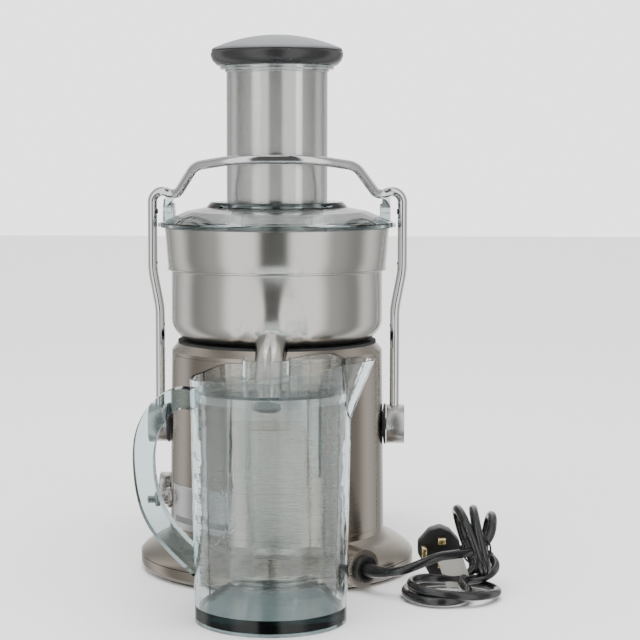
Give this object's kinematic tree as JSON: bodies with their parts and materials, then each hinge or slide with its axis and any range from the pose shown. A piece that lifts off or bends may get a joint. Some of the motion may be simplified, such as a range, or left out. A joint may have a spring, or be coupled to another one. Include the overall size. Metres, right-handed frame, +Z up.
{
  "type": "centrifugal juicer",
  "caption": "Kitchen centrifugal juicer with steel bowl and basket, wide feed chute with pusher, swing-over locking arm, clear juice jug, pulp bin and mains cord.",
  "frame": {"origin": "on the spin axis of the motor and basket, at the floor under the base", "axes": "+Z up along the spin axis, -Y towards the juice jug and spout, +Y towards the pulp bin, +X to the right seen from the jug side"},
  "size_m": [0.3007, 0.4823, 0.445],
  "materials": {
    "housing_metal": "satin warm grey die-cast",
    "steel": "brushed stainless",
    "arm_chrome": "polished",
    "clear_plastic": "clear, slightly tinted",
    "cap_grey": "satin grey",
    "black_plastic": "fine texture",
    "dark_plastic": "satin",
    "rubber": "matt",
    "clear_rubber": "translucent silicone",
    "laminations": "stacked electrical steel",
    "copper": "enamelled copper",
    "carbon": "carbon",
    "board_green": "circuit board",
    "cast_alloy": "as cast",
    "bright_steel": "ground",
    "brass": "plated"
  },
  "bodies": {
    "base": {"foot_ring": "rubber", "base_skirt": "housing_metal", "base_tray": "housing_metal", "motor_housing": "housing_metal", "top_deck": "dark_plastic", "front_panel": "housing_metal", "badge_plate": "steel", "stator_core": "laminations", "stator_windings": "copper", "lower_bearing": "bright_steel", "upper_bearing": "bright_steel", "lower_end_frame": "cast_alloy", "upper_end_frame": "cast_alloy", "stator_posts": "bright_steel", "stator_clamps": "cast_alloy", "motor_mounts": "rubber", "mount_screws": "bright_steel", "carbon_brushes": "carbon", "brush_holders": "dark_plastic", "shaft_seal": "rubber", "rotary_switch": "dark_plastic", "button_collar": "steel", "button_switch": "dark_plastic", "control_board": "board_green", "interlock_switch": "dark_plastic", "switch_bracket": "cast_alloy", "arm_washers": "black_plastic", "pivot_bolts": "bright_steel", "bowl_gasket": "rubber", "filter_bowl": "steel", "bowl_spout": "steel", "cord_grommet": "rubber", "power_cord": "rubber", "cord_clamp": "black_plastic", "cord_hank": "rubber", "plug_body": "black_plastic", "plug_pins": "brass"},
    "rotor": {"rotor_core": "laminations", "commutator": "copper", "cooling_fan": "black_plastic", "motor_shaft": "bright_steel", "drive_coupling": "dark_plastic", "basket_base": "dark_plastic", "filter_mesh": "steel", "basket_rim": "dark_plastic", "cutting_disc": "bright_steel"},
    "arm": {"arm_hubs": "steel", "locking_arm": "arm_chrome"},
    "cover": {"juicer_cover": "clear_plastic", "cover_seal": "clear_rubber"},
    "pusher": {"pusher_sleeve": "steel", "pusher_foot": "dark_plastic", "pusher_cap_base": "dark_plastic", "pusher_cap": "cap_grey"},
    "dial": {"speed_dial": "steel"},
    "button": {"power_button": "steel"},
    "jug": {"jug": "clear_plastic"},
    "jug_lid": {"jug_lid": "clear_plastic", "froth_separator": "clear_plastic"},
    "bin": {"pulp_bin": "dark_plastic"}
  },
  "joints": [
    {"name": "rotor_spin", "type": "hinge", "parent": "base", "child": "rotor", "pos_m": [0, 0, 0.1], "axis": [0, 0, 1], "continuous": true},
    {"name": "arm_swing", "type": "hinge", "parent": "base", "child": "arm", "pos_m": [0, 0, 0.121], "axis": [1, 0, 0], "range_deg": [0, 55]},
    {"name": "cover_lift", "type": "slide", "parent": "base", "child": "cover", "axis": [0, 0, 1], "range_m": [0, 0.044]},
    {"name": "pusher_slide", "type": "slide", "parent": "cover", "child": "pusher", "axis": [0, 0, 1], "range_m": [0, 0.15]},
    {"name": "speed_dial_turn", "type": "hinge", "parent": "base", "child": "dial", "pos_m": [-0.095, 0.012, 0.063], "axis": [-1, 0, 0], "range_deg": [0, 150]},
    {"name": "power_button_press", "type": "slide", "parent": "base", "child": "button", "axis": [0.9613, 0.2756, 0], "range_m": [0, 0.0025], "stiffness_N_per_m": 400},
    {"name": "jug_slide", "type": "slide", "parent": "base", "child": "jug", "axis": [0, -1, 0], "range_m": [0, 0.2]},
    {"name": "jug_lid_lift", "type": "slide", "parent": "jug", "child": "jug_lid", "axis": [0, 0, 1], "range_m": [0, 0.03]},
    {"name": "pulp_bin_slide", "type": "slide", "parent": "base", "child": "bin", "axis": [0, 1, 0], "range_m": [0, 0.16]}
  ],
  "couplings": [
    {"joint": "cover_lift", "follows": "arm_swing", "m_per_rad": 0.044}
  ]
}
